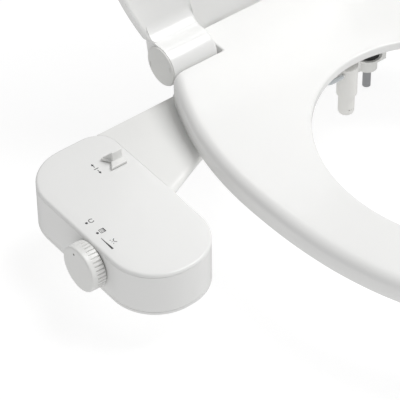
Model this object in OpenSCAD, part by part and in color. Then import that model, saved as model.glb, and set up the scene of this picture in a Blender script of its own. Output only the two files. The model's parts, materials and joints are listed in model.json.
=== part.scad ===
// Cold-water bidet seat: side control pod and nozzle plate clamped under a toilet seat and lid.
// Origin: midway between the two fixing bolts, on the plane of the bowl rim.
// +Y points back to the hinge, -Y to the front, +Z up, the control pod lies on the -X side.

/* [Mount plate] */
// Thickness of the plate that is clamped between the bowl rim and the seat
plate_t = 6; // [5.6:0.2:7]
// Distance between the two fixing bolts
bolt_pitch = 140; // [136:1:144]
// Back edge of the plate
plate_back = 15.4; // [14:0.2:18]
// Front edge of the plate beside the nozzle
plate_front = -42; // [-44:0.5:-41.5]
// Right end of the plate
plate_end = 104; // [100:1:110]
// Front corner of the arm where it meets the pod
arm_front_pod = -78.7; // [-84:0.5:-72]
// Front corner of the arm under the side of the seat
arm_front_seat = -60.4; // [-64:0.5:-56]

/* [Control pod] */
// Width of the pod, across the bowl
pod_w = 87.8; // [84:0.2:96]
// Length of the pod, front to back
pod_l = 176.6; // [170:0.2:190]
// Depth of the pod below the top of the plate
pod_h = 43.3; // [41:0.1:50]
// Inner side face of the pod
pod_inner_x = -208; // [-212:0.5:-206]
// Middle of the pod, front to back
pod_y = -68.4; // [-72:0.1:-64]
// Corner radii: back inner, back outer, front outer, front inner
pod_corner = [19.8, 43.2, 42, 41.6];
// Wall thickness of the pod's shells
wall = 2.6; // [2:0.1:3]

/* [Pressure knob] */
// Radius of the knob's grip
knob_r = 20.5; // [19:0.1:21]
// How far the knob stands out of the pod
knob_len = 14.5; // [13:0.1:17]
// Height of the knob's axis
knob_z = -15.2; // [-16:0.1:-14.5]
// Place of the knob's axis, front to back
knob_y = -87.1; // [-90:0.1:-84]
// Number of grip ribs round the knob
knob_ribs = 36; // [24:2:44]

/* [Nozzle] */
// Place of the nozzle's axis, front to back
nozzle_y = -52; // [-53:0.5:-51]
// Radius of the nozzle holder's barrel
barrel_r = 9; // [8.8:0.1:9.2]
// Radius of the nozzle tip
tip_r = 7.2; // [7:0.1:7.2]
// Length of the tip that shows when it is extended
tip_out = 21.5; // [20:0.5:24]

/* [Seat] */
// Half of the greatest width of the seat
seat_half_w = 176.7; // [170:0.1:182]
// Where the seat is widest
wide_y = -145; // [-150:1:-140]
// Front end of the seat
seat_front = -402; // [-420:1:-395]
// Underside of the seat's outer wall
seat_bottom = 9.5; // [9.5:0.1:10]
// Top of the seat
seat_top = 30.5; // [30:0.1:31]
// Half width of the opening
hole_half_w = 115.5; // [108:0.5:120]
// Middle of the opening, front to back
hole_y = -195; // [-200:1:-190]
// Back half length of the opening
hole_back = 132; // [125:1:134]
// Front half length of the opening
hole_front = 135; // [125:1:140]

/* [Hinge] */
// Hinge axis, front to back
axis_y = 27.5; // [27.5:0.1:27.8]
// Hinge axis, height
axis_z = 32.5; // [32.3:0.1:32.7]
// Radius of the lid's knuckles
knuckle_r = 18.5; // [18:0.1:18.5]
// Radius of the hinge pins
pin_r = 2.5; // [2.4:0.1:2.5]
// Opening angle of the lid
lid_open = 100; // [95:1:105]

/* [Hidden] */

$fn = 48;
eps = 0.01;
fit = 0.05;

// Plate
floor_t = 1.4;
cover_t = 1.4;
tray_top = plate_t - cover_t;
bolt_x = bolt_pitch / 2;
disc_r = 23;
disc_flange_r = 25;
deep_back = 31;
deep_x = -118;
end_r = 24;
pod_overlap = 10;
arm_seat_x = -167.6;
shank_r = 4;
neck_inset = 0.2;
shank_high = -1;
shank_low = -31;
bolt_end = -78;
head_z = 9.5;

// Pod
pod_x = pod_inner_x - pod_w / 2;
pod_outer_x = pod_inner_x - pod_w;
pod_top = plate_t;
pod_bottom = plate_t - pod_h;
cap_z = 3;
cap_chamfer = 2.4;
base_t = 2.4;
boss_r = 4.5;
screw_spots = [
  for (i = [0:3])
    let (sx = [1, -1, -1, 1][i], sy = [1, 1, -1, -1][i], r = pod_corner[i], d = (r - wall - 3) / sqrt(2))
      [sx * (pod_w / 2 - r + d), sy * (pod_l / 2 - r + d)]
];
window_back = -24;
window_front = -43;
tab_back = 6;
tab_front = -18;
tab_z = 0.6;

// Water path
inlet_x = pod_x;
inlet_y = -18;
thread_r = 10.48;
neck_r = 10.2;
nut_t = 4.5;
thread_len = 16;
supply_z = -18;
valve_x0 = -289.5;
valve_x1 = -244;
valve_r = 13;
stem_r = 4;
duct_y = -37.5;
duct_z = 3;
duct_x0 = -222;
duct_x1 = -30.9;

// Lever, link and nozzle
lever_x = -224;
lever_y = -20.5;
lever_half_w = 8;
lever_back = -9;
lever_notch = -3.5;
lever_base_t = 2.7;
fin_h = 8.2;
crank_r = 10;
link_z = 1.6;
link_t = 1.4;
link_y = lever_y - crank_r;
link_w = 5;
crank_pin_r = 1.6;
cam_slope = 0.88;
head_x = 9;
head_y = 8;
holder_top = 14;
rail_in = 10.6;
rail_out = 15.5;
rail_front = -51;
rail_back = -24;
rail_top = 9;
hood_z = 12.6;
barrel_bottom = -16;
tip_end = barrel_bottom - tip_out;
collar_r = 8;
hose_r = 2;
hose_z = 8.7;
hose_bend = 8;
hose_x = -28;
nipple_y = -56.5;
hose_bore = 1.3;
barb_r = 2.8;

// Hinge
tongue_x = 87.8;
tongue_back = 41.5;
tongue_top = 37;
tongue_r = 18;
notch_y = 8;
post_w = 14;
foot_half_w = 14;
knuckle_x0 = 91.5;
knuckle_x1 = 138;
knuckle_end = 139.6;
pin_x0 = 52;
pin_x1 = 136;
lid_in = 15.2;
lid_t = 3.5;
skirt_edge = 5.5;
skirt_t = 3;

// Half width of the seat at a place front to back
taper_len = 173.5;
taper = 46.7;
nose_pow = 2.25;
function seat_half(y) = seat_half_w - taper * pow(max(0, y - wide_y) / taper_len, 2.15);

function rear_side(inset, rear_y) = [
  for (i = [0:12])
    let (y = rear_y + (wide_y - rear_y) * i / 12)
      [seat_half(y) - inset, y]
];

function nose_side(inset) = [
  for (i = [1:18])
    let (t = 90 * i / 18, len = wide_y - seat_front - inset)
      [(seat_half_w - inset) * pow(cos(t), 2 / nose_pow), wide_y - len * pow(sin(t), 2 / nose_pow)]
];

function mirrored(half) = concat(half, [for (i = [len(half) - 2:-1:0]) [-half[i][0], half[i][1]]]);

module seat_outline(inset = 0, rear_y = notch_y)
  polygon(mirrored(concat(rear_side(inset, rear_y), nose_side(inset))));

module seat_hole(grow = 0)
  polygon([
    for (i = [0:71])
      let (t = 5 * i, len = sin(t) > 0 ? hole_back : hole_front)
        [(hole_half_w + grow) * cos(t), hole_y + (len + grow) * sin(t)]
  ]);

// Points along a circle from one angle to another
function arc(x, y, r, from, to) = [
  for (i = [0:12])
    let (t = from + (to - from) * i / 12)
      [x + r * cos(t), y + r * sin(t)]
];

// Rounded rectangle with its own radius at each corner
module four_corner(w, l, r) {
  a = w / 2;
  b = l / 2;
  polygon([
    [a, b - r[0]], [a - r[0], b], [r[1] - a, b], [-a, b - r[1]],
    [-a, r[2] - b], [r[2] - a, -b], [a - r[3], -b], [a, r[3] - b]
  ]);
  translate([a - r[0], b - r[0]]) circle(r[0]);
  translate([r[1] - a, b - r[1]]) circle(r[1]);
  translate([r[2] - a, r[2] - b]) circle(r[2]);
  translate([a - r[3], r[3] - b]) circle(r[3]);
}

module pod_outline(inset = 0)
  translate([pod_x, pod_y])
    four_corner(pod_w - 2 * inset, pod_l - 2 * inset, [for (r = pod_corner) r - inset]);

// Straight bar with round ends
module slot(len, r) {
  square([len, 2 * r], center = true);
  for (s = [-1, 1]) translate([s * len / 2, 0]) circle(r);
}

module along_x(x0, x1, y, z, r)
  translate([x0, y, z]) rotate([0, 90, 0]) cylinder(h = x1 - x0, r = r);

module along_y(x, y0, y1, z, r)
  translate([x, y0, z]) rotate([-90, 0, 0]) cylinder(h = y1 - y0, r = r);

module box(x0, x1, y0, y1, z0, z1)
  translate([x0, y0, z0]) cube([x1 - x0, y1 - y0, z1 - z0]);

module both_sides() {
  children();
  mirror([1, 0, 0]) children();
}

// ---- Plate ----

// The arm's end hugs the pod's rounded back corner
module plate_outline() difference() {
  end_x = plate_end - end_r;
  back_corner = arc(end_x, deep_back - end_r, end_r, 90, 0);
  front_corner = arc(end_x, plate_front + end_r, end_r, 0, -90);
  polygon(concat(
    [[pod_inner_x - pod_overlap, plate_back], [deep_x - 18, plate_back], [deep_x, deep_back]],
    back_corner,
    front_corner,
    [[deep_x, plate_front], [arm_seat_x, arm_front_seat], [pod_inner_x, arm_front_pod], [pod_inner_x - 3, arm_front_pod]]
  ));
  pod_outline();
}

module nozzle_notch() {
  translate([0, plate_front + 1]) square([2 * barrel_r + 3, 2 * barrel_r - 5], center = true);
}

module mount_plate() color("#f1f0ec") {
  difference() {
    linear_extrude(tray_top) plate_outline();
    both_sides() translate([bolt_x, 0, -1]) cylinder(h = plate_t + 2, r = disc_r + 0.2);
    translate([0, 0, -1]) linear_extrude(plate_t + 2) nozzle_notch();
    box(pod_inner_x - 1, hose_x + 4, duct_y - 2.9, link_y + 3.2, floor_t, plate_t);
    box(hose_x + 3, -head_x, link_y - 3.2, link_y + 3.2, floor_t, plate_t);
    box(-head_x - 5.2, head_x + 5.2, link_y - head_y - 0.6, link_y + head_y + 0.6, floor_t, plate_t);
    box(-190, -126, -22, 8, floor_t, plate_t);
    box(-34, 34, -18, 24, floor_t, plate_t);
  }
  box(pod_inner_x - wall - 4, pod_inner_x, tab_front, tab_back, tab_z, tab_z + 2);
}

module plate_cover() color("#f4f3f0") {
  difference() {
    translate([0, 0, tray_top]) linear_extrude(cover_t) plate_outline();
    both_sides() translate([bolt_x, 0, 0]) cylinder(h = plate_t + 2, r = disc_flange_r + 0.2);
    linear_extrude(plate_t + 2) nozzle_notch();
    box(-2.4, 2.4, link_y - 6, link_y + 6.2, 0, plate_t + 1);
    translate([hose_x, duct_y, 0]) cylinder(h = plate_t + 2, r = 3);
  }
}

module adjust_discs() color("#e4e3df") {
  both_sides() translate([bolt_x, 0, 0]) difference() {
    union() {
      cylinder(h = plate_t, r = disc_r);
      translate([0, 0, tray_top + eps]) cylinder(h = cover_t - eps, r = disc_flange_r);
    }
    translate([0, 0, -1]) linear_extrude(plate_t + 2) rotate(90) slot(17, 4.3);
  }
}

module fixing_bolts() color("#c9cbcc") {
  both_sides() translate([bolt_x, 0, 0]) {
    translate([0, 0, shank_low]) cylinder(h = shank_high - shank_low, r = shank_r);
    translate([0, 0, shank_high]) cylinder(h = head_z - shank_high, r = shank_r - neck_inset);
    translate([0, 0, bolt_end]) cylinder(h = shank_low - bolt_end, r = shank_r - neck_inset);
    translate([0, 0, head_z]) cylinder(h = 4, r = 8, $fn = 6);
  }
}

module cone_washer() color("#3c3c3d") {
  difference() {
    union() {
      translate([0, 0, -36]) cylinder(h = 3, r = 13);
      translate([0, 0, -42]) cylinder(h = 6, r = 10.5);
    }
    translate([0, 0, -50]) cylinder(h = 30, r = 4.15);
  }
}

module wing_nut() color("#dcdbd7") {
  difference() {
    union() {
      translate([0, 0, -44]) cylinder(h = 2, r = 13);
      translate([0, 0, -57]) cylinder(h = 13, r = 9);
      for (s = [-1, 1]) box(s * 14 - 7, s * 14 + 7, -1.6, 1.6, -57, -46);
    }
    translate([0, 0, -70]) cylinder(h = 40, r = 3.9);
  }
}

module cone_washer_left() translate([-bolt_x, 0, 0]) cone_washer();
module cone_washer_right() translate([bolt_x, 0, 0]) cone_washer();
module wing_nut_left() translate([-bolt_x, 0, 0]) wing_nut();
module wing_nut_right() translate([bolt_x, 0, 0]) wing_nut();

// ---- Control pod ----

module pod_boss() {
  for (p = screw_spots) translate([pod_x + p[0], pod_y + p[1], pod_bottom + base_t]) cylinder(h = 12, r = boss_r);
}

module pod_screw_holes(r, z0, h) {
  for (p = screw_spots) translate([pod_x + p[0], pod_y + p[1], z0]) cylinder(h = h, r = r);
}

module pod_housing() color("#e3e3e1") {
  difference() {
    union() {
      difference() {
        translate([0, 0, pod_bottom + base_t]) linear_extrude(cap_z - pod_bottom - base_t) pod_outline();
        translate([0, 0, pod_bottom]) linear_extrude(pod_h) pod_outline(wall);
      }
      intersection() {
        pod_boss();
        translate([0, 0, pod_bottom]) linear_extrude(pod_h) pod_outline(wall / 2);
      }
    }
    pod_screw_holes(1.6, pod_bottom, 14);
    along_x(pod_outer_x - 1, pod_outer_x + wall + 4, knob_y, knob_z, 9);
    box(pod_inner_x - wall - 1, pod_inner_x + 1, window_front, window_back, floor_t, cap_z + 1);
    box(pod_inner_x - wall - 1, pod_inner_x + 1, tab_front, tab_back, tab_z, tab_z + 2);
  }
}

module pod_cap() color("#efeeec") {
  steps = 4;
  difference() {
    union() {
      translate([0, 0, cap_z]) linear_extrude(pod_top - cap_chamfer - cap_z + eps) pod_outline();
      for (i = [1:steps])
        let (a = 90 * i / steps)
          translate([0, 0, pod_top - cap_chamfer])
            linear_extrude(cap_chamfer * sin(a)) pod_outline(cap_chamfer * (1 - cos(90 * (i - 1) / steps)));
    }
    box(-pod_w + pod_x, pod_inner_x + 1, window_front, window_back, cap_z - 1, tray_top);
    translate([lever_x, lever_y, 0]) cylinder(h = 10, r = 5 + fit);
  }
  translate([0, 0, cap_z - 2]) linear_extrude(2 + eps) difference() {
    pod_outline(wall + 0.2);
    pod_outline(wall + 2);
    translate([pod_inner_x - 20, window_front - 4]) square([30, tab_back - window_front + 5]);
  }
}

module pod_base_cover() color("#dddddb") {
  difference() {
    translate([0, 0, pod_bottom]) linear_extrude(base_t) pod_outline();
    pod_screw_holes(2, pod_bottom - 1, 5);
    pod_screw_holes(3.4, pod_bottom - 1, 2.2);
    translate([inlet_x, inlet_y, pod_bottom - 1]) cylinder(h = 5, r = neck_r + 0.2);
  }
}

module pod_screws() color("#b8babb") {
  pod_screw_holes(3.2, pod_bottom, 1.2);
  pod_screw_holes(1.55, pod_bottom + 1.2 - eps, 10);
}

// ---- Water inlet and valve ----

module inlet_fitting() color("#c6a355") {
  difference() {
    union() {
      translate([inlet_x, inlet_y, pod_bottom - thread_len]) cylinder(h = thread_len - nut_t, r = thread_r);
      translate([inlet_x, inlet_y, pod_bottom - nut_t]) cylinder(h = nut_t + base_t, r = neck_r);
      translate([inlet_x, inlet_y, pod_bottom + base_t]) cylinder(h = 2.5, r = 14);
      translate([inlet_x, inlet_y, pod_bottom + base_t + 2.5]) cylinder(h = 16, r = 8);
      along_y(inlet_x, inlet_y - 14, inlet_y, supply_z, 6.5);
    }
    translate([inlet_x, inlet_y, pod_bottom - thread_len - 1]) cylinder(h = thread_len + 22, r = 5);
    along_y(inlet_x, inlet_y - 15, inlet_y, supply_z, 3.5);
  }
}

module inlet_locknut() color("#bb9a50") {
  translate([inlet_x, inlet_y, pod_bottom - nut_t]) difference() {
    cylinder(h = nut_t, r = 15.5, $fn = 6);
    translate([0, 0, -1]) cylinder(h = nut_t + 2, r = neck_r);
  }
}

module inlet_filter() color("#8f9498") {
  translate([inlet_x, inlet_y, pod_bottom - thread_len + 1]) difference() {
    cylinder(h = 9, r = 5);
    translate([0, 0, -1]) cylinder(h = 9, r = 4.2);
    for (a = [0:45:135], z = [3, 5.5]) translate([0, 0, z]) rotate([90, 0, a]) cylinder(h = 14, r = 0.7, center = true);
  }
}

module check_valve() color("#f0f0ee") {
  difference() {
    union() {
      along_y(inlet_x, inlet_y - 30, inlet_y - 14, supply_z, 7.5);
      along_y(inlet_x, inlet_y - 25, inlet_y - 19, supply_z, 8.6);
    }
    along_y(inlet_x, inlet_y - 31, inlet_y - 13, supply_z, 3);
  }
}

module supply_tube() color("#e9ecee") {
  difference() {
    along_y(inlet_x, knob_y + valve_r - 1.5, inlet_y - 30, supply_z, 4.5);
    along_y(inlet_x, knob_y + valve_r - 2, inlet_y - 29, supply_z, 2.8);
    along_x(valve_x0, valve_x1, knob_y, knob_z, valve_r);
  }
}

module valve_body() color("#c6a355") {
  difference() {
    union() {
      along_x(valve_x0, valve_x1, knob_y, knob_z, valve_r);
      along_x(valve_x1 - eps, valve_x1 + 9, knob_y, knob_z, 5);
    }
    along_x(valve_x0 - 1, valve_x1 - 6, knob_y, knob_z, stem_r + fit);
    along_x(valve_x0 - 1, valve_x0 + 8, knob_y, knob_z, 7);
    along_x(valve_x1 - 16, valve_x1 - 5, knob_y, knob_z, 7.6);
    along_x(valve_x1 - 7, valve_x1 + 10, knob_y, knob_z, 2.4);
  }
}

module valve_bonnet_nut() color("#bb9a50") {
  difference() {
    union() {
      along_x(valve_x0 - 2, valve_x0, knob_y, knob_z, 12);
      along_x(valve_x0, valve_x0 + 5, knob_y, knob_z, 6.9);
      along_x(pod_outer_x, valve_x0 - 2, knob_y, knob_z, 8.8);
    }
    along_x(pod_outer_x - 1, valve_x0 + 6, knob_y, knob_z, stem_r + fit);
  }
}

module stem_seal() color("#2e2e2f") {
  translate([valve_x0 + 6.6, knob_y, knob_z]) rotate([0, 90, 0])
    rotate_extrude() translate([5.55, 0]) circle(1.3, $fn = 24);
}

module valve_stem() color("#aeb0b2") {
  along_x(pod_outer_x - 10, valve_x1 - 6.6, knob_y, knob_z, stem_r);
  difference() {
    along_x(valve_x1 - 15, valve_x1 - 7, knob_y, knob_z, 7.4);
    translate([valve_x1 - 16, knob_y + 4.4, knob_z]) rotate([0, 90, 0]) cylinder(h = 10, r = 2.2);
  }
}

module pressure_knob() color("#ebebe9") {
  face_x = pod_outer_x - knob_len;
  difference() {
    union() {
      along_x(face_x + 0.8, pod_outer_x - 0.5, knob_y, knob_z, knob_r - 0.7);
      along_x(face_x + 0.8, face_x + 5.2, knob_y, knob_z, knob_r);
      along_x(face_x, face_x + 0.8 + eps, knob_y, knob_z, knob_r - 0.8);
      for (i = [0:knob_ribs - 1])
        translate([0, knob_y, knob_z]) rotate([360 * i / knob_ribs, 0, 0])
          translate([face_x + 5, knob_r - 1.2, -0.7]) cube([knob_len - 5.5, 1.5, 1.4]);
    }
    along_x(face_x + 4, pod_outer_x + 1, knob_y, knob_z, stem_r);
    difference() {
      along_x(face_x + 3, pod_outer_x + 1, knob_y, knob_z, knob_r - 3.5);
      along_x(face_x + 2, pod_outer_x + 1, knob_y, knob_z, 7);
    }
  }
}

module feed_tube() color("#e9ecee") {
  rise_x = duct_x0 - 10;
  low_z = -5;
  r = 2.3;
  elbow_r = 2.7;
  along_x(valve_x1 + 9, rise_x, knob_y, knob_z, r);
  along_y(rise_x, knob_y, duct_y, knob_z, r);
  translate([rise_x, duct_y, knob_z]) cylinder(h = low_z - knob_z, r = r);
  along_x(rise_x, duct_x0 - 0.2, duct_y, low_z, r);
  for (p = [[knob_y, knob_z], [duct_y, knob_z], [duct_y, low_z]])
    translate([rise_x, p[0], p[1]]) sphere(elbow_r);
}

module water_duct() color("#e9ecee") {
  section_w = 3.8;
  h = 2.9;
  translate([duct_x0, duct_y, duct_z]) rotate([90, 0, 90])
    linear_extrude(duct_x1 - duct_x0) difference() {
      slot(section_w - h / 2, h / 2);
      slot(section_w - h / 2, h / 2 - 0.5);
    }
  box(duct_x0 - 0.2, duct_x0 + 5, duct_y - 2.6, duct_y + 2.6, -7.6, duct_z - 1.45);
}

module outlet_barb() color("#f0f0ee") {
  translate([hose_x, duct_y, floor_t]) cylinder(h = hose_z - floor_t, r = barb_r);
  translate([hose_x, duct_y, hose_z]) sphere(barb_r);
  along_y(hose_x, duct_y - 6, duct_y, hose_z, hose_bore);
}

// ---- Nozzle ----

module hose_run(r) {
  along_y(hose_x, nipple_y + hose_bend, duct_y - barb_r, hose_z, r);
  translate([hose_x + hose_bend, nipple_y + hose_bend, hose_z]) rotate(180)
    rotate_extrude(angle = 90) translate([hose_bend, 0]) circle(r, $fn = 24);
  along_x(hose_x + hose_bend, -barrel_r - 0.3, nipple_y, hose_z, r);
}

module nozzle_hose() color("#d9dcde") difference() {
  hose_run(hose_r);
  hose_run(hose_bore);
}

module nozzle_rails() color("#f4f3f0") {
  both_sides() {
    box(rail_in, rail_out, rail_front, plate_front, 2, rail_top);
    box(rail_in, rail_out, plate_front, rail_back, plate_t, rail_top);
  }
}

module nozzle_hood() color("#f4f3f0") {
  roof_y = -38;
  both_sides() box(rail_out - 2.6, rail_out, rail_front, rail_back, rail_top, hood_z);
  box(-rail_out, rail_out, roof_y, rail_back, hood_z, holder_top);
  both_sides() box(rail_in - 0.2, rail_out, rail_front, roof_y, hood_z, holder_top);
}

module nozzle_holder() color("#efeeea") {
  difference() {
    union() {
      translate([0, nozzle_y, barrel_bottom]) cylinder(h = holder_top - barrel_bottom, r = barrel_r);
      box(-12.5, 12.5, -50.5, -45, 9.2, 12.2);
      box(-3, 3, -46, link_y + 2.2, 9.2, 12.2);
      translate([0, link_y, link_z + 0.1]) cylinder(h = 8, r = crank_pin_r);
      along_x(-barrel_r - 5, -barrel_r + 1.5, nipple_y, hose_z, hose_bore - fit);
    }
    translate([0, nozzle_y, barrel_bottom + 2]) cylinder(h = 22, r = collar_r + fit);
    translate([0, nozzle_y, barrel_bottom - 5]) cylinder(h = 20, r = tip_r + fit);
  }
}

module nozzle_tip() color("#e6e4de") {
  difference() {
    union() {
      translate([0, nozzle_y, tip_end + 2.5]) cylinder(h = barrel_bottom + 2 - tip_end, r = tip_r);
      translate([0, nozzle_y, tip_end]) cylinder(h = 2.5 + eps, r = tip_r - 1.4);
      translate([0, nozzle_y, tip_end + 1]) cylinder(h = 1.5 + eps, r = tip_r - 0.5);
      translate([0, nozzle_y, barrel_bottom + 2.1]) cylinder(h = 3, r = collar_r);
    }
    translate([0, nozzle_y, tip_end + 4]) cylinder(h = 60, r = 3);
    for (a = [-18, 0, 18])
      translate([0, nozzle_y, tip_end + 8]) rotate([0, 0, a]) rotate([105, 0, 0]) cylinder(h = 12, r = 0.6);
  }
}

module nozzle_seal() color("#2e2e2f") {
  translate([0, nozzle_y, barrel_bottom + 5.1]) difference() {
    cylinder(h = 2, r = collar_r - 0.1);
    translate([0, 0, -1]) cylinder(h = 5, r = 3.4);
  }
}

module nozzle_lever() color("#f6f5f3") {
  translate([lever_x, lever_y, 0]) {
    translate([0, 0, -3]) cylinder(h = pod_top + 3.3, r = 5);
    translate([0, -crank_r / 2, -3]) linear_extrude(4.2) rotate(90) slot(crank_r, 4);
    translate([0, -crank_r, 1]) cylinder(h = 2, r = crank_pin_r);
    translate([0, 0, pod_top + 0.3]) linear_extrude(lever_base_t)
      polygon([
        [lever_back, lever_half_w], [lever_notch, 0], [lever_back, -lever_half_w],
        [lever_half_w, -lever_half_w], [lever_half_w, lever_half_w]
      ]);
    // upright fin, with a sloping web down to the rear corner
    translate([lever_notch + 0.5, -1.2, pod_top + 0.2 + lever_base_t]) cube([10.5, 2.4, fin_h]);
    translate([lever_notch + 1.5, 0, pod_top + 0.2 + lever_base_t])
      rotate([90, 0, 180 - atan(lever_half_w / (lever_notch - lever_back))])
        linear_extrude(1.4) polygon([[0, 0], [0, fin_h - 0.4], [9, 0]]);
  }
}

module link_bar() color("#d6d8d9") {
  difference() {
    union() {
      box(lever_x - 5, -head_x + 1, link_y - link_w / 2, link_y + link_w / 2, link_z, link_z + link_t);
      box(lever_x - 5, lever_x + 4.5, link_y - 4, link_y + 4.2, link_z, link_z + link_t);
      box(-head_x, head_x, link_y - head_y, link_y + head_y, link_z, link_z + link_t);
    }
    translate([lever_x, link_y + 0.5, 0]) linear_extrude(6) rotate(90) slot(1.6, crank_pin_r + 0.35);
    translate([0, link_y, 0]) linear_extrude(6) rotate(atan(cam_slope)) slot(13, crank_pin_r + 0.3);
  }
}

// ---- Hinges, seat and lid ----

module hinge_posts() color("#b9bbbd") {
  both_sides() difference() {
    union() {
      box(bolt_x - foot_half_w, bolt_x + foot_half_w, -16, 18, plate_t, head_z);
      box(bolt_x - post_w / 2, bolt_x + post_w / 2, 16, axis_y + 1.5, plate_t, axis_z + 0.5);
    }
    translate([bolt_x, 0, 0]) cylinder(h = 20, r = 4.1);
    along_x(bolt_x - 20, bolt_x + 20, axis_y, axis_z, pin_r);
  }
}

module hinge_pins() color("#9fa2a5") both_sides() along_x(pin_x0, pin_x1, axis_y, axis_z, pin_r);

// Side profile of the seat: flat, then a ramp up to the hinge
module seat_profile() {
  translate([-200, 0, 0]) rotate([90, 0, 90]) linear_extrude(400)
    polygon([
      [seat_front - 10, seat_bottom], [notch_y + 20.5, seat_bottom], [notch_y + 20.5, 13.2], [tongue_back, 13.2],
      [tongue_back, tongue_top], [4, tongue_top], [-48, seat_top], [seat_front - 10, seat_top]
    ]);
}

module seat_plan() {
  layers = [[0, 12.5], [1.4, 4], [4, 3], [8, 9]];
  for (i = [0:len(layers) - 1])
    let (z = seat_bottom + (i > 0 ? layers[0][1] : 0) + (i > 1 ? layers[1][1] : 0) + (i > 2 ? layers[2][1] : 0))
      translate([0, 0, z - (i > 0 ? eps : 0)]) linear_extrude(layers[i][1] + 2 * eps) seat_outline(layers[i][0]);
}

module seat_ring() color("#f5f5f3") {
  difference() {
    intersection() {
      union() {
        seat_plan();
        box(-tongue_x, tongue_x, 0, tongue_back, 14.5, tongue_top);
        translate([0, 0, seat_bottom]) linear_extrude(3.7) difference() {
          seat_outline(0, 28.5);
          square([2 * tongue_x - 20, 200], center = true);
        }
      }
      seat_profile();
    }
    // opening, with a thin inner lip and a hollow underside
    translate([0, 0, 0]) linear_extrude(60) seat_hole();
    translate([0, 0, 26.5]) linear_extrude(20) seat_hole(1.5);
    translate([0, 0, 29]) linear_extrude(20) seat_hole(4);
    translate([0, 0, 0]) linear_extrude(22) intersection() {
      seat_outline(11, 2);
      translate([-200, -500]) square([400, 500]);
    }
    box(-tongue_x + 6, tongue_x - 6, -12, notch_y + 8, 0, 22);
    // rounded lower back of the hinge tongue
    difference() {
      box(-200, 200, axis_y, 60, 0, axis_z);
      along_x(-200, 200, axis_y, axis_z, tongue_r);
      both_sides() box(tongue_x + 0.5, 200, axis_y - 1, 28.5, 0, 13.3);
    }
    // pockets for the hinge posts
    both_sides() box(bolt_x - post_w / 2 - 1.5, bolt_x + post_w / 2 + 1.5, 5, 60, 0, axis_z + 2.8);
    both_sides() box(bolt_x - foot_half_w - 2, bolt_x + foot_half_w + 2, -30, 24, 0, 16);
    both_sides() along_x(pin_x0 - 0.5, tongue_x + 1, axis_y, axis_z, pin_r + fit);
  }
}

seat_bumper_spots = [[88, -350], [154, -95]];
module seat_bumpers() color("#d9d8d4") {
  both_sides() for (p = seat_bumper_spots) translate([p[0], p[1], 0]) {
    cylinder(h = 22, r = 5);
    cylinder(h = 6, r = 7);
  }
}

// The lid is laid out closed, then turned about the hinge axis
module opened_lid()
  translate([0, axis_y, axis_z]) rotate([-lid_open, 0, 0]) translate([0, -axis_y, -axis_z]) children();

module lid_outline(inset = 0) {
  side_x = knuckle_x1 - inset;
  polygon(mirrored(concat([[side_x, axis_y - 2], [side_x, 8.4]], rear_side(inset, 4), nose_side(inset))));
}

module lid_closed() {
  plate_z = axis_z + lid_in;
  difference() {
    union() {
      translate([0, 0, plate_z]) linear_extrude(lid_t - 1.5) lid_outline();
      translate([0, 0, plate_z + lid_t - 1.5 - eps]) linear_extrude(1.5 + eps) lid_outline(2);
      translate([0, 0, axis_z + skirt_edge]) linear_extrude(plate_z - axis_z - skirt_edge + eps) difference() {
        lid_outline();
        lid_outline(skirt_t);
        translate([-120, -20]) square([240, 60]);
      }
      both_sides() {
        along_x(knuckle_x0, knuckle_x1, axis_y, axis_z, knuckle_r);
        box(knuckle_x0, knuckle_x1, 14, axis_y + 1, axis_z + 10, plate_z + eps);
      }
    }
    both_sides() along_x(knuckle_x0 - 1, pin_x1 + 0.5, axis_y, axis_z, pin_r + fit);
    box(-tongue_x - 0.8, tongue_x + 0.8, axis_y - 2, 60, 0, 80);
  }
}

module lid_panel() color("#f7f7f5") opened_lid() lid_closed();

module hinge_caps() color("#d2d2cf")
  both_sides() along_x(knuckle_x1, knuckle_end, axis_y, axis_z, knuckle_r - 0.6);

lid_bumper_spots = [[76, -352], [148, -140]];
module lid_bumpers() color("#dedddb") opened_lid()
  both_sides() for (p = lid_bumper_spots)
    translate([p[0], p[1], seat_top + 0.4]) cylinder(h = axis_z + lid_in - seat_top - 0.4, r = 5);

mount_plate();
plate_cover();
adjust_discs();
fixing_bolts();
cone_washer_left();
cone_washer_right();
wing_nut_left();
wing_nut_right();
pod_housing();
pod_cap();
pod_base_cover();
pod_screws();
inlet_fitting();
inlet_locknut();
inlet_filter();
check_valve();
supply_tube();
valve_body();
valve_bonnet_nut();
valve_stem();
stem_seal();
pressure_knob();
feed_tube();
water_duct();
outlet_barb();
nozzle_hose();
nozzle_rails();
nozzle_hood();
nozzle_holder();
nozzle_tip();
nozzle_seal();
nozzle_lever();
link_bar();
hinge_posts();
hinge_pins();
seat_ring();
seat_bumpers();
lid_panel();
hinge_caps();
lid_bumpers();
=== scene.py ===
"""Looks of a cold-water bidet seat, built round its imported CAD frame.

Lengths in the shape functions are millimetres in the frame's axes: origin midway between the fixing bolts
on the bowl rim, +Y back to the hinge, +Z up, control pod on the -X side. MM turns them into metres.
"""

import json
import math

import bmesh
import bpy
import numpy as np
from mathutils import Matrix, Vector


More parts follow.
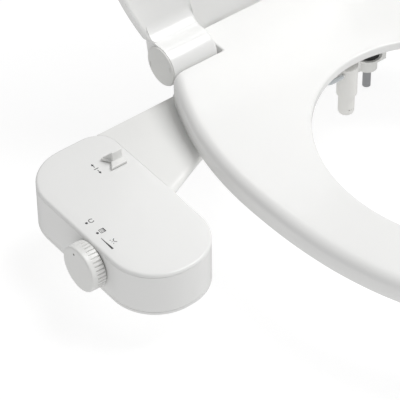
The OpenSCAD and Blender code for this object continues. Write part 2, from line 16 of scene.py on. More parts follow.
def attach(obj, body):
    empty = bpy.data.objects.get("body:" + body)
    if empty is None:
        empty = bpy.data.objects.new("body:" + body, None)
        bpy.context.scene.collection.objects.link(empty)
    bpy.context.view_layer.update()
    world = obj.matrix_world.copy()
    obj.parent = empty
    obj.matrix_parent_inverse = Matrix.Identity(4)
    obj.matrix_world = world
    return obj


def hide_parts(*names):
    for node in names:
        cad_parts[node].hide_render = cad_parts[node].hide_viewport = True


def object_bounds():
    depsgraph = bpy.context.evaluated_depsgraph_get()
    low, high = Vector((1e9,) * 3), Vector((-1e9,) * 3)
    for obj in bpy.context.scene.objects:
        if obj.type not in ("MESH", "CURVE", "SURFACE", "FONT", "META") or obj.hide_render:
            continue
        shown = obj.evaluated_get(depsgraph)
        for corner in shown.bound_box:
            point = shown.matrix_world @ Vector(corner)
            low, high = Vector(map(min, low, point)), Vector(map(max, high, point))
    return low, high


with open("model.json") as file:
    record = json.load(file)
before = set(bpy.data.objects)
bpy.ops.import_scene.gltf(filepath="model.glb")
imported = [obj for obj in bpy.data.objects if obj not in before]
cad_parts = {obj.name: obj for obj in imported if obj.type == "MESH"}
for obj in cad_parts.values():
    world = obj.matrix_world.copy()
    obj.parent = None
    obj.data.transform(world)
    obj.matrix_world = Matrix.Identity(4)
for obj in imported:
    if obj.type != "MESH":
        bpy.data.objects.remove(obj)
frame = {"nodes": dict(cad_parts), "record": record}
CAD_BOX = [list(corner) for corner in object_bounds()]
NODES = frame["nodes"]
MM = 0.001


# ---------------------------------------------------------------- camera

CAMERA_AT = (-1.102, -1.282, 1.368)
CAMERA_TURN = math.radians(-37.44)
CAMERA_RISE = math.radians(42.48)
CAMERA_ROLL = math.radians(-0.73)


def make_camera():
    turn, rise, roll = CAMERA_TURN, CAMERA_RISE, CAMERA_ROLL
    right = Vector((math.cos(turn), math.sin(turn), 0))
    back = Vector((math.sin(turn) * math.cos(rise), -math.cos(turn) * math.cos(rise), math.sin(rise)))
    up = back.cross(right)
    tilted_right = math.cos(roll) * right + math.sin(roll) * up
    tilted_up = math.cos(roll) * up - math.sin(roll) * right
    axes = Matrix((tilted_right, tilted_up, back)).transposed().to_4x4()
    data = bpy.data.cameras.new("camera")
    data.sensor_width = 36
    data.lens = 225
    data.clip_start = 0.05
    camera = bpy.data.objects.new("camera", data)
    camera.matrix_world = Matrix.Translation(CAMERA_AT) @ axes
    bpy.context.scene.collection.objects.link(camera)
    bpy.context.scene.camera = camera


# ---------------------------------------------------------------- mesh tools

def add_mesh(name, points, faces):
    """A mesh object from points in millimetres."""
    data = bpy.data.meshes.new(name)
    data.from_pydata([(p[0] * MM, p[1] * MM, p[2] * MM) for p in points], [], faces)
    data.update()
    piece = bpy.data.objects.new(name, data)
    bpy.context.scene.collection.objects.link(piece)
    return piece


def edit(piece, work):
    """Runs work on the piece's bmesh."""
    bm = bmesh.new()
    bm.from_mesh(piece.data)
    work(bm)
    bm.to_mesh(piece.data)
    bm.free()
    piece.data.update()


def face_outward(piece):
    edit(piece, lambda bm: bmesh.ops.recalc_face_normals(bm, faces=bm.faces))


def shade(piece, angle=35):
    """Smooth shading, with edges sharper than the angle kept crisp."""
    limit = math.radians(angle)

    def mark(bm):
        for face in bm.faces:
            face.smooth = True
        for edge in bm.edges:
            edge.smooth = len(edge.link_faces) == 2 and edge.calc_face_angle(0) < limit

    edit(piece, mark)


def apply_modifiers(piece):
    bpy.context.view_layer.update()
    shown = piece.evaluated_get(bpy.context.evaluated_depsgraph_get())
    data = bpy.data.meshes.new_from_object(shown)
    piece.modifiers.clear()
    old = piece.data
    piece.data = data
    bpy.data.meshes.remove(old)


def combine(piece, other, operation="DIFFERENCE"):
    """Cuts other out of the piece, or joins the two, and removes other."""
    change = piece.modifiers.new("combine", "BOOLEAN")
    change.object = other
    change.operation = operation
    change.solver = "EXACT"
    apply_modifiers(piece)
    bpy.data.objects.remove(other)


def bevel(piece, width, segments=3, angle=35):
    change = piece.modifiers.new("bevel", "BEVEL")
    change.width = width * MM
    change.segments = segments
    change.limit_method = "ANGLE"
    change.angle_limit = math.radians(angle)
    change.use_clamp_overlap = True
    apply_modifiers(piece)


def loft(name, rings, ends=True):
    """A skin through closed rings of points, all with the same count. ends closes the first and last ring."""
    count = len(rings[0])
    points = [p for ring in rings for p in ring]
    faces = []
    for k in range(len(rings) - 1):
        for i in range(count):
            j = (i + 1) % count
            faces.append((k * count + i, k * count + j, (k + 1) * count + j, (k + 1) * count + i))
    if ends:
        last = (len(rings) - 1) * count
        faces.append(tuple(range(count))[::-1])
        faces.append(tuple(range(last, last + count)))
    piece = add_mesh(name, points, faces)
    face_outward(piece)
    return piece


def lathe(name, profile, place, turns=64):
    """A round solid: profile is (radius, height) pairs, place maps (a, b, height) to a point."""
    rings = []
    for radius, height in profile:
        ring = []
        for i in range(turns):
            t = 2 * math.pi * i / turns
            ring.append(place(radius * math.cos(t), radius * math.sin(t), height))
        rings.append(ring)
    return loft(name, rings)


def box(name, x0, x1, y0, y1, z0, z1):
    ring = [(x0, y0), (x1, y0), (x1, y1), (x0, y1)]
    return loft(name, [[(x, y, z0) for x, y in ring], [(x, y, z1) for x, y in ring]])


def prism(name, outline, z0, z1):
    return loft(name, [[(x, y, z0) for x, y in outline], [(x, y, z1) for x, y in outline]])


def arc(x, y, r, start, end, steps):
    """Points on a circle, from one angle to another in degrees, both ends included."""
    points = []
    for i in range(steps + 1):
        t = math.radians(start + (end - start) * i / steps)
        points.append((x + r * math.cos(t), y + r * math.sin(t)))
    return points


def line(start, end, steps):
    """Points between two points, without the ends."""
    return [
        (start[0] + (end[0] - start[0]) * i / steps, start[1] + (end[1] - start[1]) * i / steps)
        for i in range(1, steps)
    ]


def mirrored(half):
    """Closes a half outline that starts and ends on x = 0."""
    return half + [(-x, y) for x, y in half[-2:0:-1]]


def along_x(y, z):
    return lambda a, b, h: (h, y + a, z + b)


def upright(x, y):
    return lambda a, b, h: (x + a, y + b, h)


def rounded_edge(inset, height, radius, steps=6, from_side=True):
    """(inset, height) pairs round a convex top edge, from the side to the top."""
    pairs = []
    for i in range(steps + 1):
        t = math.radians(90 * i / steps)
        pairs.append((inset + radius * (1 - math.cos(t)), height - radius + radius * math.sin(t)))
    return pairs if from_side else pairs[::-1]


def nearest(points, path):
    """Distance in the plane from each point to a path of short straight lines."""
    p = np.asarray(points, float)
    a = np.asarray(path[:-1], float)
    d = np.asarray(path[1:], float) - a
    lengths = np.maximum((d ** 2).sum(1), 1e-9)
    best = np.full(len(p), 1e9)
    for start, step, size in zip(a, d, lengths):
        t = np.clip(((p - start) @ step) / size, 0, 1)
        gap = np.hypot(*(p - start - t[:, None] * step).T)
        best = np.minimum(best, gap)
    return best


def fillet_drop(distance, radius):
    """How far a round edge lies below the flat surface, at a distance from the edge."""
    inside = np.clip(radius - np.asarray(distance, float), 0, radius)
    return radius - np.sqrt(np.maximum(radius ** 2 - inside ** 2, 0))


# ---------------------------------------------------------------- materials

def node_tree(name):
    material = bpy.data.materials.new(name)
    material.use_nodes = True
    nodes = material.node_tree.nodes
    shader = nodes["Principled BSDF"]
    return material, nodes, material.node_tree.links, shader


def noise(nodes, links, coordinates, scale, detail, roughness=0.5):
    texture = nodes.new("ShaderNodeTexNoise")
    texture.inputs["Scale"].default_value = scale
    texture.inputs["Detail"].default_value = detail
    texture.inputs["Roughness"].default_value = roughness
    links.new(coordinates.outputs["Object"], texture.inputs["Vector"])
    return texture


def ramp(nodes, links, source, low, high, start=0.35, end=0.65):
    mix = nodes.new("ShaderNodeValToRGB")
    mix.color_ramp.elements[0].color = (*low, 1)
    mix.color_ramp.elements[1].color = (*high, 1)
    mix.color_ramp.elements[0].position = start
    mix.color_ramp.elements[1].position = end
    links.new(source, mix.inputs["Fac"])
    return mix


def plastic(name, colour, roughness=0.3, coat=0.0, grain=0.06, grain_scale=1800, shade_range=0.012,
            see_through=0.0):
    """Moulded plastic: a faint flow variation, a fine skin grain and softly varying gloss."""
    material, nodes, links, shader = node_tree(name)
    coordinates = nodes.new("ShaderNodeTexCoord")
    flow = noise(nodes, links, coordinates, 9, 3)
    darker = [c * (1 - shade_range) for c in colour]
    tint = ramp(nodes, links, flow.outputs["Fac"], darker, colour)
    links.new(tint.outputs["Color"], shader.inputs["Base Color"])
    wear = noise(nodes, links, coordinates, 60, 4)
    gloss = nodes.new("ShaderNodeMapRange")
    gloss.inputs["From Min"].default_value = 0.3
    gloss.inputs["From Max"].default_value = 0.7
    gloss.inputs["To Min"].default_value = roughness * 0.97
    gloss.inputs["To Max"].default_value = roughness * 1.04
    links.new(wear.outputs["Fac"], gloss.inputs["Value"])
    links.new(gloss.outputs["Result"], shader.inputs["Roughness"])
    skin = noise(nodes, links, coordinates, grain_scale, 2, 0.6)
    bump = nodes.new("ShaderNodeBump")
    bump.inputs["Strength"].default_value = grain
    bump.inputs["Distance"].default_value = 0.0001
    links.new(skin.outputs["Fac"], bump.inputs["Height"])
    links.new(bump.outputs["Normal"], shader.inputs["Normal"])
    shader.inputs["IOR"].default_value = 1.49
    shader.inputs["Coat Weight"].default_value = coat
    shader.inputs["Coat Roughness"].default_value = 0.08
    if see_through:
        shader.inputs["Transmission Weight"].default_value = see_through
    return material


def metal(name, colour, roughness, stretch=(1, 1, 40), scratch=0.08):
    """Turned or drawn metal: fine marks along the tool's path and slightly uneven tone."""
    material, nodes, links, shader = node_tree(name)
    coordinates = nodes.new("ShaderNodeTexCoord")
    mapping = nodes.new("ShaderNodeMapping")
    mapping.inputs["Scale"].default_value = stretch
    links.new(coordinates.outputs["Object"], mapping.inputs["Vector"])
    marks = nodes.new("ShaderNodeTexNoise")
    marks.inputs["Scale"].default_value = 90
    marks.inputs["Detail"].default_value = 4
    links.new(mapping.outputs["Vector"], marks.inputs["Vector"])
    tint = ramp(nodes, links, marks.outputs["Fac"], [c * 0.86 for c in colour], colour)
    links.new(tint.outputs["Color"], shader.inputs["Base Color"])
    bump = nodes.new("ShaderNodeBump")
    bump.inputs["Strength"].default_value = scratch
    bump.inputs["Distance"].default_value = 0.0002
    links.new(marks.outputs["Fac"], bump.inputs["Height"])
    links.new(bump.outputs["Normal"], shader.inputs["Normal"])
    shader.inputs["Metallic"].default_value = 1
    shader.inputs["Roughness"].default_value = roughness
    return material


def rubber(name, colour, roughness=0.75):
    return plastic(name, colour, roughness, grain=0.3, grain_scale=900, shade_range=0.15)


def ink(name, colour):
    return plastic(name, colour, 0.5, grain=0.1, grain_scale=2500, shade_range=0.2)


MATERIALS = {
    "seat_white": plastic("seat_white", (0.85, 0.85, 0.84), 0.2, coat=0.25, grain=0.01),
    "plate_white": plastic("plate_white", (0.81, 0.81, 0.795), 0.3, grain=0.015),
    "pod_white": plastic("pod_white", (0.83, 0.83, 0.82), 0.24, coat=0.1, grain=0.012),
    "knob_white": plastic("knob_white", (0.80, 0.80, 0.785), 0.34, grain=0.03),
    "nozzle_white": plastic("nozzle_white", (0.80, 0.795, 0.77), 0.28, grain=0.05),
    "fitting_white": plastic("fitting_white", (0.76, 0.76, 0.74), 0.42, grain=0.12),
    "soft_grey": rubber("soft_grey", (0.55, 0.55, 0.53), 0.6),
    "black_rubber": rubber("black_rubber", (0.025, 0.025, 0.026)),
    "brass": metal("brass", (0.78, 0.58, 0.27), 0.28),
    "steel": metal("steel", (0.62, 0.63, 0.64), 0.3),
    "tube_clear": plastic("tube_clear", (0.82, 0.86, 0.88), 0.2, grain=0.02, see_through=0.35),
    "mark_ink": ink("mark_ink", (0.03, 0.03, 0.032)),
}


def dress(piece, body, slot, *replaced, material=None, angle=35):
    """Finishes a piece: shading, the material named by slot (or by material when given), its body, and hiding
    the CAD nodes that it stands for.
    """
    shade(piece, angle)
    piece.data.materials.clear()
    piece.data.materials.append(MATERIALS[material or slot])
    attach(piece, body)
    if replaced:
        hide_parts(*replaced)
    return piece


# ---------------------------------------------------------------- seat outline, shared by seat and lid

SEAT_HALF = 176.7
WIDE_Y = -145
NOSE_Y = -402
NOSE_POWER = 2.25
TAPER = 46.7
TAPER_LENGTH = 173.5
TAPER_POWER = 2.15
AXIS_Y = 27.5
AXIS_Z = 32.5


def side_x(y):
    """Half width of the seat behind its widest place."""
    return SEAT_HALF - TAPER * (max(0, y - WIDE_Y) / TAPER_LENGTH) ** TAPER_POWER


def side_points(rear_y, inset=0, steps=24):
    """From the back of the side to the front of the nose."""
    points = []
    for i in range(steps):
        y = rear_y + (WIDE_Y - rear_y) * i / steps
        points.append((side_x(y) - inset, y))
    nose_steps = 46
    length = WIDE_Y - NOSE_Y - inset
    for i in range(nose_steps + 1):
        t = math.radians(90 * i / nose_steps)
        x = (SEAT_HALF - inset) * max(0, math.cos(t)) ** (2 / NOSE_POWER)
        points.append((x, WIDE_Y - length * math.sin(t) ** (2 / NOSE_POWER)))
    points[-1] = (0, WIDE_Y - length)
    return points


# ---------------------------------------------------------------- seat ring

HOLE_Y = -195
HOLE_HALF = 115.5
HOLE_BACK = 132
HOLE_FRONT = 135
SEAT_TOP = 30.5
SEAT_BOTTOM = 9.5
RAMP_TOP = 37
RAMP_START = -48
RAMP_END = 4
NOTCH_Y = 8
TONGUE_X = 87.8
TONGUE_BACK = 41.5
SIDE_FILLET = 9.5
EDGE_FILLET = 1.7
HOLE_FILLET = 1.8
CEILING = 22
LIP = ((0, 23.2), (0.5, 22.5), (2.2, 22.1), (5, 22.1), (5, SEAT_BOTTOM))


def soft_step(y, start, end, blend=9.0):
    """0 before start and 1 after end, straight between, with rounded creases."""
    def hinge(u):
        return np.where(u <= -blend, 0, np.where(u >= blend, u, (u + blend) ** 2 / (4 * blend)))
    y = np.asarray(y, float)
    return (hinge(y - start) - hinge(y - end)) / (end - start)


def seat_half_outline():
    corner = 2.2
    hollow = 1.8
    side_corner = 5.0
    rear = (TONGUE_X - corner, TONGUE_BACK)
    points = [(0, TONGUE_BACK)] + line((0, TONGUE_BACK), rear, 10)
    points += arc(TONGUE_X - corner, TONGUE_BACK - corner, corner, 90, 0, 5)
    points += line((TONGUE_X, TONGUE_BACK - corner), (TONGUE_X, NOTCH_Y + hollow), 10)
    points += arc(TONGUE_X + hollow, NOTCH_Y + hollow, hollow, 180, 270, 4)
    side_y = 5.2
    centre_x = side_x(side_y) - side_corner * math.cos(math.radians(26))
    points += line((TONGUE_X + hollow, NOTCH_Y), (centre_x, NOTCH_Y), 14)
    points += arc(centre_x, NOTCH_Y - side_corner, side_corner, 90, 26, 6)
    points += side_points(side_y)[1:]
    return points


def hole_point(x, y):
    """The opening's edge in the direction of a point of the outline."""
    length = HOLE_BACK if y > HOLE_Y else HOLE_FRONT
    t = math.atan2((y - HOLE_Y) / length, x / HOLE_HALF)
    return HOLE_HALF * math.cos(t), HOLE_Y + length * math.sin(t)


def seat_top_height(points):
    """Height of the seat's top surface over each point."""
    p = np.asarray(points, float)
    side = side_points(80, steps=60)
    edge = side + [(-x, y) for x, y in side[::-1]]
    notch = [(300, NOTCH_Y), (TONGUE_X, NOTCH_Y), (TONGUE_X, TONGUE_BACK), (0, TONGUE_BACK)]
    folded = np.column_stack((np.abs(p[:, 0]), p[:, 1]))
    opening = [hole_point(math.cos(a), HOLE_Y + math.sin(a)) for a in np.linspace(0, 2 * math.pi, 181)]
    height = SEAT_TOP + (RAMP_TOP - SEAT_TOP) * soft_step(p[:, 1], RAMP_START, RAMP_END)
    height = height - fillet_drop(nearest(p, edge), SIDE_FILLET)
    height = height - fillet_drop(nearest(folded, notch), EDGE_FILLET)
    return height - fillet_drop(nearest(p, opening), HOLE_FILLET)


def make_seat():
    outline = mirrored(seat_half_outline())
    opening = [hole_point(x, y) for x, y in outline]
    near = [0, 0.12, 0.4, 0.8, 1.4, 2.2, 3.2, 4.6, 6.2, 8.0, 10.0, 13.0]
    far = [7.0, 4.6, 3.0, 1.8, 1.3, 0.9, 0.5, 0.25, 0.08, 0]
    middle = 12
    rings = []

    def ring_at(step):
        ring = []
        for (x, y), (hx, hy) in zip(outline, opening):
            span = math.hypot(hx - x, hy - y)
            share = step(span) / span
            ring.append((x + (hx - x) * share, y + (hy - y) * share))
        return ring

    steps = [lambda span, d=d: d for d in near]
    steps += [
        lambda span, k=k: near[-1] + (span - near[-1] - far[0]) * k / middle for k in range(1, middle)
    ]
    steps += [lambda span, d=d: span - d for d in far]
    flat_rings = [ring_at(step) for step in steps]
    heights = [seat_top_height(ring) for ring in flat_rings]
    floor = [14.5 if y > NOTCH_Y + 0.01 else SEAT_BOTTOM for _, y in outline]
    for inset, rise in ((1.0, 0), (0.3, 0.3), (0, 1.0)):
        rings.append([(x, y, f + rise) for (x, y), f in zip(ring_at(lambda span, d=inset: d), floor)])
    rings.append([
        (x, y, 0.4 * (f + 1) + 0.6 * h) for (x, y), f, h in zip(flat_rings[0], floor, heights[0])
    ])
    for ring, height in zip(flat_rings, heights):
        rings.append([(x, y, h) for (x, y), h in zip(ring, height)])
    for recess, z in LIP:
        rings.append([(x, y, z) for x, y in ring_at(lambda span, d=recess: span - d)])
    seat = loft("seat", rings, ends=False)
    count = len(outline)
    last = (len(rings) - 1) * count

    def bottom(bm):
        bm.verts.ensure_lookup_table()
        for i in range(count):
            j = (i + 1) % count
            bm.faces.new([bm.verts[k] for k in (i, j, last + j, last + i)])
        bmesh.ops.recalc_face_normals(bm, faces=bm.faces)

    edit(seat, bottom)
    hollow = [(x, y) for x, y in mirrored([(0, 2)] + side_points(2, inset=7, steps=14))]
    combine(seat, prism("hollow", hollow, -5, CEILING))
    combine(seat, box("tongue_hollow", -TONGUE_X + 6, TONGUE_X - 6, -12, NOTCH_Y + 8, -5, CEILING + 0.5))
    for side in (-1, 1):
        at = 70 * side
        combine(seat, box("post_pocket", at - 8.5, at + 8.5, 5, 60, 0, AXIS_Z + 2.8))
        combine(seat, box("foot_pocket", at - 16, at + 16, -30, 24, 0, 16))
    round_back = loft("round_back", [
        [(x, y, z) for y, z in [(60, 0), (60, AXIS_Z)] + arc(AXIS_Y, AXIS_Z, 18, 0, -90, 24) + [(AXIS_Y, 0)]]
        for x in (-90, 90)
    ])
    combine(seat, round_back)
    return dress(seat, "seat", "seat_white", "seat_ring")


# ---------------------------------------------------------------- lid

LID_TILT = math.radians(100)
LID_OUTER = 18.7
LID_INNER = 15.2
SKIRT_EDGE = 5.5
KNUCKLE_R = 18.5
KNUCKLE_X0 = 91.5
KNUCKLE_X1 = 138


def opened(piece):
    """Turns a piece laid out on the closed lid to its place on the open one."""
    hinge = Matrix.Translation((0, AXIS_Y * MM, AXIS_Z * MM))
    piece.data.transform(hinge @ Matrix.Rotation(-LID_TILT, 4, "X") @ hinge.inverted())
    return piece


def lid_half_outline(inset=0):
    rear = 25.4 - inset
    side = KNUCKLE_X1 - inset
    points = [(0, rear), (40, rear), (TONGUE_X - 4, rear), (TONGUE_X + 1, rear), (side - 1.2, rear)]
    points += [(side, rear - 1.2), (side, 9.5)]
    return points + side_points(4, inset)


def make_lid():
    outer_z = AXIS_Z + LID_OUTER
    inner_z = AXIS_Z + LID_INNER
    edge_z = AXIS_Z + SKIRT_EDGE
    rings = []
    for inset, z in [(1.0, edge_z), (0.3, edge_z + 0.3), (0, edge_z + 1.0)]:
        rings.append([(x, y, z) for x, y in mirrored(lid_half_outline(inset))])
    for inset, z in rounded_edge(0, outer_z, 4.5, 7):
        rings.append([(x, y, z) for x, y in mirrored(lid_half_outline(inset))])
    lid = loft("lid", rings)
    rim = mirrored([(0, 40), (60, 40), (KNUCKLE_X1 - 3, 40), (KNUCKLE_X1 - 3, 9)] + side_points(4, inset=3.2))
    dish = prism("dish", rim, edge_z - 5, inner_z)
    combine(lid, dish)
    for side in (-1, 1):
        combine(lid, make_knuckle(side), "UNION")
    return dress(opened(lid), "lid", "seat_white", "lid_panel")


def make_knuckle(side):
    """The hinge barrel, with its hollow blend into the lid's inner face."""
    blend = 16.0
    inner = LID_INNER + 0.05
    reach = math.sqrt((KNUCKLE_R + blend) ** 2 - (inner - blend) ** 2)
    toward = math.degrees(math.atan2(inner - blend, -reach)) % 360
    profile = [(0, LID_OUTER - 0.1), (-38, LID_OUTER - 0.1), (-38, inner), (-reach, inner)]
    profile += arc(-reach, inner - blend, blend, 90, toward - 180, 10)[1:]
    profile += arc(0, 0, KNUCKLE_R, toward, 450, 56)[1:]
    rings = []
    edge = 3.2
    for inset, x in rounded_edge(0, 0, edge, 6, from_side=False):
        rings.append((KNUCKLE_X0 - x, inset))
    rings.append((KNUCKLE_X1, 0))
    skins = []
    for x, inset in rings:
        shrink = (KNUCKLE_R - inset) / KNUCKLE_R
        ring = []
        for y, z in profile:
            on_plate = y < -reach
            scale = 1 if on_plate else shrink
            ring.append((side * x, AXIS_Y + y * scale, AXIS_Z + z * scale))
        skins.append(ring)
    return loft("knuckle", skins)


def make_hinge_caps():
    """Flat caps that close the outer ends of the knuckles, with two small snap marks each."""
    for side, name in ((-1, "hinge_cap_left"), (1, "hinge_cap_right")):
        radius = KNUCKLE_R - 0.7
        profile = [(radius - 4, KNUCKLE_X1 - 0.4), (radius, KNUCKLE_X1 - 0.4), (radius, KNUCKLE_X1 + 0.8)]
        profile += [(radius - r, x) for r, x in rounded_edge(0, KNUCKLE_X1 + 1.6, 0.7, 3)]
        place = lambda a, b, h: (side * h, AXIS_Y + a, AXIS_Z + b)
        cap = lathe(name, profile, place, 96)
        for angle in (80, 260):
            y = AXIS_Y + 14.6 * math.cos(math.radians(angle))
            z = AXIS_Z + 14.6 * math.sin(math.radians(angle))
            mark_profile = [(1.2, KNUCKLE_X1 + 1.2), (1.2, KNUCKLE_X1 + 3)]
            mark = lathe("snap_mark", mark_profile, lambda a, b, h: (side * h, y + 2.2 * a, z + 0.7 * b), 24)
            combine(cap, mark)
        dress(opened(cap), "lid", "fitting_white", *(("hinge_caps",) if side < 0 else ()))


# ---------------------------------------------------------------- control pod

POD_X = -251.9
POD_Y = -68.4
POD_W = 87.8
POD_L = 176.6
POD_CORNER = (19.8, 43.2, 42, 41.6)
POD_TOP = 6
POD_FLOOR = -34.9
CAP_Z = 3
POD_OUTER = POD_X - POD_W / 2
POD_EDGE = 2.5
POD_WALL = 2.6


def pod_outline(inset=0, steps=20):
    """The pod seen from above. Its last points run along the straight side that meets the arm."""
    a = POD_W / 2 - inset
    b = POD_L / 2 - inset
    r = [corner - inset for corner in POD_CORNER]
    points = arc(a - r[0], b - r[0], r[0], 0, 90, steps)
    points += arc(r[1] - a, b - r[1], r[1], 90, 180, steps)
    points += arc(r[2] - a, r[2] - b, r[2], 180, 270, steps)
    points += arc(a - r[3], r[3] - b, r[3], 270, 360, steps)
    points += line(points[-1], points[0], 16)
    return [(POD_X + x, POD_Y + y) for x, y in points]


def pod_edge(radius, steps=7):
    """Rings round the cap's top edge, which is almost sharp where the arm meets it."""
    soft = pod_outline(0)
    joined = [(POD_X + POD_W / 2, y) for y in (-81, 20)]
    far = nearest(soft, joined)
    share = 0.14 + 0.86 * np.clip((far - 4) / 12, 0, 1)
    share = np.where(np.asarray(soft)[:, 1] > 16, 1, share)
    inner = pod_outline(radius)
    return [
        [(x + (nx - x) * own * inset / radius, y + (ny - y) * own * inset / radius, POD_TOP + own * drop)
         for own, (x, y), (nx, ny) in zip(share, soft, inner)]
        for inset, drop in rounded_edge(0, 0, radius, steps)
    ]


def pod_rings(levels):
    return [[(x, y, z) for x, y in pod_outline(inset)] for inset, z in levels]


def make_pod():
    under = pod_rings([(2.4, CAP_Z + 0.1), (0.35, CAP_Z + 0.1), (0.05, CAP_Z + 0.35)])
    cap = loft("pod_top", under + pod_edge(POD_EDGE) + pod_rings([(12, POD_TOP)]))
    combine(cap, box("link_window", -215, -207, -43, -24, 0, 4.6))
    dress(cap, "base", "pod_white", "pod_cap")
    outside = [(0.4, POD_FLOOR), (0, POD_FLOOR + 0.4), (0, 0), (0, CAP_Z - 0.3), (0.3, CAP_Z)]
    levels = outside + [(POD_WALL, CAP_Z), (POD_WALL, POD_FLOOR)]
    body = loft("pod_body", pod_rings(levels), ends=False)
    count = len(pod_outline())
    last = (len(levels) - 1) * count

    def close(bm):
        bm.verts.ensure_lookup_table()
        for i in range(count):
            j = (i + 1) % count
            bm.faces.new([bm.verts[k] for k in (i, j, last + j, last + i)])
        bmesh.ops.recalc_face_normals(bm, faces=bm.faces)

    edit(body, close)
    bore = lathe("knob_bore", [(9, POD_OUTER - 2), (9, POD_OUTER + 6)], along_x(KNOB_Y, KNOB_Z), 48)
    combine(body, bore)
    combine(body, box("link_window", -213, -206, -43, -24, 1.4, 9))
    dress(body, "base", "pod_white", "pod_housing")


# ---------------------------------------------------------------- knob

KNOB_Y = -87.1
KNOB_Z = -15.2
KNOB_R = 20.5
KNOB_LEN = 14.5
KNOB_RIBS = 36


def make_knob():
    face_x = POD_OUTER - KNOB_LEN
    per_rib = 10
    count = KNOB_RIBS * per_rib
    plain = KNOB_R - 0.1
    groove = 1.3

    def ring(radius, x, depth):
        points = []
        for i in range(count):
            t = 2 * math.pi * i / count
            land = (i % per_rib) not in (4, 5, 6)
            r = radius - (0 if land else depth)
            points.append((x, KNOB_Y + r * math.cos(t), KNOB_Z + r * math.sin(t)))
        return points

    rings = [
        ring(8, POD_OUTER - 0.5, 0), ring(KNOB_R - 2.4, POD_OUTER - 0.5, 0),
        ring(KNOB_R - 1.2, POD_OUTER - 0.7, 0), ring(plain, POD_OUTER - 1.4, groove),
        ring(KNOB_R, POD_OUTER - 5, groove), ring(KNOB_R, face_x + 5.6, groove),
        ring(plain, face_x + 5.1, 0), ring(plain, face_x + 3, 0),
    ]
    for inset, h in rounded_edge(0, 0, 1.6, 6):
        rings.append(ring(plain - inset, face_x - h, 0))
    rings.append(ring(plain - 5, face_x, 0))
    rings.append(ring(plain - 10, face_x, 0))
    knob = loft("knob", rings)
    dress(knob, "knob", "knob_white", "pressure_knob", angle=40)
    t = math.radians(110)
    spot = lathe(
        "knob_dot", [(1.0, face_x + 0.4), (1.0, face_x + 0.01), (0.9, face_x - 0.02)],
        along_x(KNOB_Y - 14 * math.cos(t), KNOB_Z + 14 * math.sin(t)), 24)
    dress(spot, "knob", "knob_white", material="mark_ink")


# ---------------------------------------------------------------- lever

LEVER_X = -224
LEVER_Y = -20.5


def make_lever():
    """A swallow-tailed finger plate with an upright fin, on the hub and crank that move the link."""
    base_z = POD_TOP + 0.3
    top_z = base_z + 2.7
    outline = [(-9, 8), (-3.5, 0), (-9, -8), (8, -8), (8, 8)]
    lever = prism("lever", [(LEVER_X + x, LEVER_Y + y) for x, y in outline], base_z, top_z)
    bevel(lever, 1.1, 4, 30)
    fin_back = 7.4
    fin_levels = [
        (-3, 2.4, top_z - 1), (-3, 1.5, top_z + 0.6), (-3, 1.1, top_z + 2.4), (-2.9, 0.9, top_z + 8.0)
    ]
    fin = loft("fin", [
        [(LEVER_X + x, LEVER_Y + y * half, z)
         for x, y in ((front, -1), (fin_back, -1), (fin_back, 1), (front, 1))]
        for front, half, z in fin_levels
    ])
    bevel(fin, 0.6, 3, 40)
    combine(lever, fin, "UNION")
    web_x, web_y = -0.566, 0.824
    web = loft("web", [
        [(LEVER_X - 2 + along * web_x + side * web_y, LEVER_Y + along * web_y - side * web_x, z)
         for along, z in ((0, top_z - 0.6), (8.8, top_z - 0.6), (8.8, top_z - 0.1), (0, top_z + 7.6))]
        for side in (0, 1.2)
    ])
    combine(lever, web, "UNION")
    hub = lathe("hub", [(5, -3), (5, base_z + 0.2)], upright(LEVER_X, LEVER_Y), 48)
    combine(lever, hub, "UNION")
    crank = prism("crank", [
        (LEVER_X + x, LEVER_Y + y) for x, y in arc(0, 0, 4, 0, 180, 16) + arc(0, -10, 4, 180, 360, 16)
    ], -3, 1.2)
    combine(lever, crank, "UNION")
    pin = lathe("pin", [(1.6, 0.5), (1.6, 2.7), (1.3, 3.0)], upright(LEVER_X, LEVER_Y - 10), 32)
    combine(lever, pin, "UNION")
    dress(lever, "lever", "knob_white", "nozzle_lever", angle=30)


# ---------------------------------------------------------------- printed marks on the pod

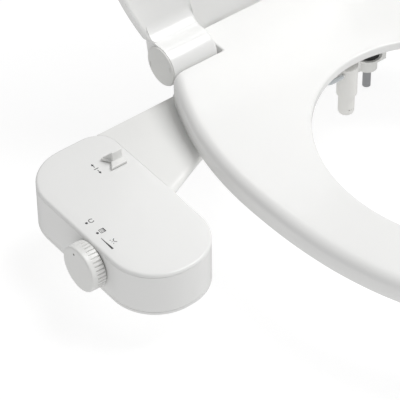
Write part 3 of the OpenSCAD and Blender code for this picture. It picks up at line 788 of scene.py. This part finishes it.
def make_marks():
    """Generic signs: an arrow pair, an open ring, a barred square, a spray arc, two dots and a wedge."""
    shapes = []

    def stroke(points, width):
        """A line of even width through points."""
        for (x0, y0), (x1, y1) in zip(points, points[1:]):
            length = math.hypot(x1 - x0, y1 - y0)
            dx, dy = (x1 - x0) / length, (y1 - y0) / length
            sx, sy = -dy * width / 2, dx * width / 2
            shapes.append([
                (x0 - sx, y0 - sy), (x1 - sx, y1 - sy), (x1 + sx, y1 + sy), (x0 + sx, y0 + sy)
            ])

    # arrow pair for the nozzle's travel, with a bar between
    ax, ay = -241.0, -18.3
    stroke([(ax - 2.2, ay), (ax + 2.2, ay)], 0.7)
    for way in (-1, 1):
        stroke([(ax, ay + way * 2.0), (ax, ay + way * 5.0)], 0.6)
        head = [(ax - 1.3, ay + way * 4.8), (ax + 1.3, ay + way * 4.8), (ax, ay + way * 7.2)]
        shapes.append(head[::way])
    # the knob's places from off to strong: dots and wedge by the edge, a sign beside each
    for y in (-66.2, -81.0):
        shapes.append(arc(-285.6, y, 1.15, 0, 345, 23))
    shapes.append([(-287.0, -87.4), (-287.7, -103.2), (-285.9, -103.2), (-286.6, -87.4)])
    stroke(arc(-281.0, -66.1, 2.0, 30, 330, 24), 0.7)
    stroke([(-283.1, -83.0), (-283.1, -78.8), (-278.9, -78.8), (-278.9, -83.0), (-283.1, -83.0)], 0.45)
    stroke([(-278.9, -83.2), (-278.9, -78.6)], 1.0)
    for step in (1.05, 2.1, 3.15):
        stroke([(-283.1 + step, -83.0), (-283.1 + step, -78.8)], 0.35)
    stroke(arc(-278.6, -96.3, 2.2, 100, 260, 14), 0.6)
    for way in (-1, 0, 1):
        stroke([(-282.0, -96.3 + 2.0 * way), (-283.0, -96.3 + 2.6 * way)], 0.5)
    points, faces = [], []
    low, high = POD_TOP - 0.05, POD_TOP + 0.02
    for outline in shapes:
        first = len(points)
        count = len(outline)
        points += [(x, y, low) for x, y in outline] + [(x, y, high) for x, y in outline]
        faces.append(tuple(first + i for i in range(count))[::-1])
        faces.append(tuple(first + count + i for i in range(count)))
        for i in range(count):
            j = (i + 1) % count
            faces.append((first + i, first + j, first + count + j, first + count + i))
    marks = add_mesh("pod_marks", points, faces)
    face_outward(marks)
    dress(marks, "base", "mark_ink")


# ---------------------------------------------------------------- mounting arm

PLATE_TOP = 6


def make_arm():
    """The plate and its cover. The front top edge is rounded widely at the pod and hardly at all mid-way."""
    front = [(-60, -42), (-118, -42), (-167.6, -60.4), (-214, -81.4)]
    places = [front[0]]
    for start, end in zip(front, front[1:]):
        places += line(start, end, 10) + [end]
    sections = []
    for i, (x, y) in enumerate(places):
        (ax, ay), (bx, by) = places[max(0, i - 1)], places[min(len(places) - 1, i + 1)]
        size = math.hypot(bx - ax, by - ay)
        nx, ny = (by - ay) / size, -(bx - ax) / size
        width = 0.9 + 8.1 * min(1, max(0, (-138 - x) / 62))
        depth = 0.5 * width + 0.3
        section = [(-1.5, PLATE_TOP - depth)]
        section += [(width * (1 - math.cos(t)), PLATE_TOP - depth * (1 - math.sin(t)))
                    for t in [math.radians(a) for a in range(0, 91, 10)]]
        section += [(width, PLATE_TOP + 1), (-1.5, PLATE_TOP + 1)]
        sections.append([(x + u * nx, y + u * ny, z) for u, z in section])
    for node in ("mount_plate", "plate_cover"):
        piece = NODES[node].copy()
        piece.data = NODES[node].data.copy()
        piece.name = node + "_finished"
        bpy.context.scene.collection.objects.link(piece)
        combine(piece, loft("edge_cut", sections))
        dress(piece, "base", "plate_white", node, angle=32)


# ---------------------------------------------------------------- carried-over CAD nodes

def dress_nodes():
    """CAD nodes that stay get the material of their slot."""
    slots = {part["node"]: part["material_slot"] for part in frame["record"]["subparts"]}
    for name, piece in NODES.items():
        shade(piece, 30)
        piece.data.materials.clear()
        piece.data.materials.append(MATERIALS[slots[name]])


# ---------------------------------------------------------------- stage

def make_stage():
    low = CAD_BOX[0][2] / MM - 1
    size = 6000
    corners = [(-size, -size, low), (size, -size, low), (size, size, low), (-size, size, low)]
    floor = add_mesh("floor", corners, [(0, 1, 2, 3)])
    material, _, _, shader = node_tree("floor")
    shader.inputs["Base Color"].default_value = (0.3, 0.3, 0.3, 1)
    shader.inputs["Roughness"].default_value = 1
    shader.inputs["Specular IOR Level"].default_value = 0
    shader.inputs["Emission Color"].default_value = (1, 1, 1, 1)
    shader.inputs["Emission Strength"].default_value = 0.8
    floor.data.materials.append(material)
    floor.visible_glossy = False


def area_light(name, at, target, size, power):
    data = bpy.data.lights.new(name, "AREA")
    data.shape = "RECTANGLE"
    data.size, data.size_y = size
    data.energy = power
    light = bpy.data.objects.new(name, data)
    light.location = at
    light.rotation_euler = (Vector(target) - Vector(at)).to_track_quat("-Z", "Y").to_euler()
    bpy.context.scene.collection.objects.link(light)


def make_world():
    """An even white room."""
    world = bpy.data.worlds.new("studio")
    world.use_nodes = True
    background = world.node_tree.nodes["Background"]
    background.inputs["Color"].default_value = (1, 1, 1, 1)
    background.inputs["Strength"].default_value = 0.43
    bpy.context.scene.world = world


def make_lights():
    area_light("key", (0.85, -0.5, 2.1), (0, -0.15, 0), (1.5, 1.5), 40)
    bpy.context.scene.view_settings.view_transform = "Standard"


make_camera()
make_stage()
make_world()
make_lights()
dress_nodes()
make_seat()
make_lid()
make_hinge_caps()
make_pod()
make_knob()
make_lever()
make_marks()
make_arm()
